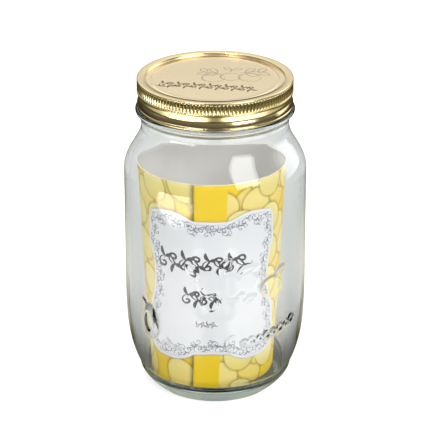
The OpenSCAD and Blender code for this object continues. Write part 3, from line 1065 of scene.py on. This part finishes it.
def sprig(root, degrees, length, leaves, size):
    """A stem with pairs of open leaves, each leaf two facing arcs."""
    strokes = [turned(bow(length, length * 0.08), degrees, root)]
    a = math.radians(degrees)
    for k in range(leaves):
        f = (k + 0.6) / leaves
        at = (root[0] + f * length * math.cos(a), root[1] + f * length * math.sin(a))
        for side in (-1, 1):
            for rise in (0.2, -0.2):
                edge = bow(size * (1.1 - 0.3 * f), rise * size)
                strokes.append(turned(edge, degrees + side * 48, at, side))
    return strokes


def berries(places, radius):
    """Open circles, each one closed stroke."""
    t = np.linspace(0, 2 * np.pi, STROKE_STEPS)
    return [np.column_stack([x + radius * np.cos(t), y + radius * np.sin(t)]) for x, y in places]


mauve_ink = ink_material("mauve_ink", srgb(104, 80, 84), srgb(138, 112, 108))
brown_ink = ink_material("brown_ink", srgb(62, 44, 26), srgb(92, 70, 46))
drawing = (
    sprig((13, 9), 8, 15, 2, 10) + sprig((5, 9), 168, 12, 2, 9) + sprig((9, 10), 80, 6, 1, 8)
    + berries([(-1, 1), (20, 2)], 6.6) + berries([(9, 3)], 6.0)
)
ink("disc_drawing_ink", drawing, [0.5] * len(drawing), on_disc, mauve_ink, "disc")

flourish, flourish_widths = vine_row(-30, 25, 0, 2.4, 6, 2.9, 0.85)
flourish.append(turned(bow(17, 3.2), 178, (-20, -1)))
flourish_widths.append(0.7)
flourish = [turned(path, -9.5, (0, -13.5)) for path in flourish]
ink("disc_flourish_ink", flourish, flourish_widths, on_disc, brown_ink, "disc")

# %% [markdown]
# ## Floor and light
#
# A plain pale floor and four soft boxes, as in a product studio. The boxes in front light the card, and they
# and the two others give the highlights on the metal and on the glass shoulder. A patch on the floor at the
# left front glows, but only in reflections: it is a painted reflection that gives the long highlight on that
# side of the glass. In reflections the sky is dark low down and in front, light higher up behind the jar, and
# dimmer again at the very top.

# %% Floor
floor_mesh = bpy.data.meshes.new("floor")
floor_mesh.from_pydata([(-4, -4, 0), (4, -4, 0), (4, 4, 0), (-4, 4, 0)], [], [(0, 1, 2, 3)])
floor = bpy.data.objects.new("floor", floor_mesh)
bpy.context.collection.objects.link(floor)
floor_paint, floor_tree, floor_shader = new_material("pale_floor")
floor_shader.inputs["Base Color"].default_value = (0.93, 0.93, 0.93, 1)
floor_shader.inputs["Roughness"].default_value = 0.9
floor_shader.inputs["Specular IOR Level"].default_value = 0.1
floor_mesh.materials.append(floor_paint)

# A product picture is cut out onto white, while the metal and the glass still show the studio. Through the
# glass, this floor glows grey with painted shade, darkest under the jar where its shadow would fall. In
# reflections it is painted light: it glows bright near the jar and dimmer under it, behind it, straight ahead
# of it and far off, with one brighter glowing patch at the left
floor_coords = object_coords(floor_tree)
reach = wire(floor_tree, "VectorMath", {"operation": "LENGTH"}, i0=floor_coords).outputs["Value"]
heading = wire(floor_tree, "VectorMath", {"operation": "NORMALIZE"}, i0=floor_coords)
heading = wire(floor_tree, "SeparateXYZ", i0=heading.outputs[0]).outputs
tone = ramp(floor_tree, reach, 0.2, 0.32, 2.8, 0.34)
factors = (
    ramp(floor_tree, reach, 0.45, 0.9, 1.0, 0.4, "LINEAR"),
    ramp(floor_tree, sums(floor_tree, "ABSOLUTE", heading[0]), 0.12, 0.34, 0.14, 1.0),
    ramp(floor_tree, heading[1], -0.25, 0.15, 1.0, 0.3),
    ramp(floor_tree, reach, 0.07, 0.12, 0.1, 1.0),
)
for factor in factors:
    tone = sums(floor_tree, "MULTIPLY", tone, factor)
# Painted reflection: a patch at the left front that glows only in reflections.
on_patch = wire(floor_tree, "Mapping", {"vector_type": "TEXTURE"}, Vector=floor_coords,
                Location=(-0.287, -0.241, 0), Rotation=(0, 0, math.radians(40)), Scale=(0.06, 0.155, 1))
on_patch = wire(floor_tree, "VectorMath", {"operation": "ABSOLUTE"}, i0=on_patch.outputs[0])
on_patch = wire(floor_tree, "SeparateXYZ", i0=on_patch.outputs[0]).outputs
reflected_glow_patch = ramp(floor_tree, sums(floor_tree, "MAXIMUM", on_patch[0], on_patch[1]), 0.75, 1.05, 7.0, 0.0)
tone = sums(floor_tree, "ADD", tone, reflected_glow_patch)
warmth = wire(floor_tree, "ValToRGB", Fac=tone)
warmth.color_ramp.elements[0].color = (1, 0.95, 0.42, 1)
warmth.color_ramp.elements[1].color = (1, 0.98, 0.9, 1)
mirrored = wire(floor_tree, "Emission", Color=warmth.outputs[0], Strength=tone)
# Painted shade: seen through the glass, the floor glows a grey that is darkest under the jar, where its
# shadow would fall.
behind = wire(floor_tree, "ValToRGB", Fac=reach)
stops = behind.color_ramp.elements
stops[0].position = 0.05
stops[0].color = (0.06, 0.07, 0.06, 1)
stops[1].position = 0.6
stops[1].color = (0.94, 0.94, 0.94, 1)
for position, grey in ((0.095, 0.5), (0.14, 0.7), (0.3, 0.8)):
    stops.new(position).color = (grey, grey * 1.01, grey * 1.01, 1)
shaded_floor_glow = wire(floor_tree, "Emission", Color=behind.outputs[0], Strength=1.0)
floor_path = wire(floor_tree, "LightPath").outputs
seen = floor_shader
for ray, answer in (("Is Glossy Ray", mirrored), ("Is Transmission Ray", shaded_floor_glow)):
    seen = wire(floor_tree, "MixShader", i0=floor_path[ray], i1=seen.outputs[0], i2=answer.outputs[0])
floor_tree.links.new(seen.outputs[0], floor_tree.nodes["Material Output"].inputs["Surface"])
print("floor finish:", len(floor_tree.nodes), "nodes")

# %% Lights
def soft_box(name, place_at, aim_at, width, height, watts):
    """A rectangular area light at one point, turned to face another."""
    data = bpy.data.lights.new(name, "AREA")
    data.shape = "RECTANGLE"
    data.size, data.size_y = width, height
    data.energy = watts
    lamp = bpy.data.objects.new(name, data)
    bpy.context.collection.objects.link(lamp)
    lamp.location = place_at
    lamp.rotation_euler = (Vector(aim_at) - Vector(place_at)).to_track_quat("-Z", "Y").to_euler()
    return lamp


soft_box("left_box", (-0.80, -1.05, 1.9), (0, 0, 0.1), 0.75, 0.4, 18)
soft_box("right_box", (0.85, -0.9, 0.95), (0, 0, 0.1), 0.8, 0.9, 12)
soft_box("right_back_box", (1.04, 0.6, 0.46), (0, 0, 0.12), 0.9, 0.7, 3.0)
soft_box("top_box", (0, 0.5, 1.8), (0, 0, 0.1), 2.6, 2.6, 15)

world = bpy.data.worlds.new("studio")
bpy.context.scene.world = world
world.use_nodes = True
sky = world.node_tree
# Light bent through glass counts as glossy as well as transmitted, so the second is taken off the first
direction = wire(sky, "TexCoord").outputs["Generated"]
parts = wire(sky, "SeparateXYZ", i0=direction).outputs
sky_path = wire(sky, "LightPath").outputs
reflected = sums(sky, "SUBTRACT", sky_path["Is Glossy Ray"], sky_path["Is Transmission Ray"], clamp=True)
horizon = blend(sky, reflected, (1.0, 1.0, 1.0, 1), (0.13, 0.13, 0.13, 1))
climb = ramp(sky, parts[2], 0.13, 0.36, 0.0, 1.0, "LINEAR")
facing = ramp(sky, parts[1], -0.3, 0.15, 0.0, 1.0)
zenith = ramp(sky, parts[2], 0.55, 0.85, 1.0, 0.25)
ahead = blend(sky, sums(sky, "MULTIPLY", facing, zenith), (0.25, 0.23, 0.2, 1), (1.2, 1.18, 1.16, 1))
overhead = blend(sky, reflected, (1, 1, 1, 1), ahead)
tone = blend(sky, climb, horizon, overhead)
tone = blend(sky, sky_path["Is Camera Ray"], tone, (1.2, 1.2, 1.2, 1))
background = sky.nodes["Background"]
sky.links.new(tone, background.inputs["Color"])
background.inputs["Strength"].default_value = 0.85

bpy.context.scene.view_settings.view_transform = "Standard"
print("lights:", [lamp.name for lamp in bpy.data.lights])
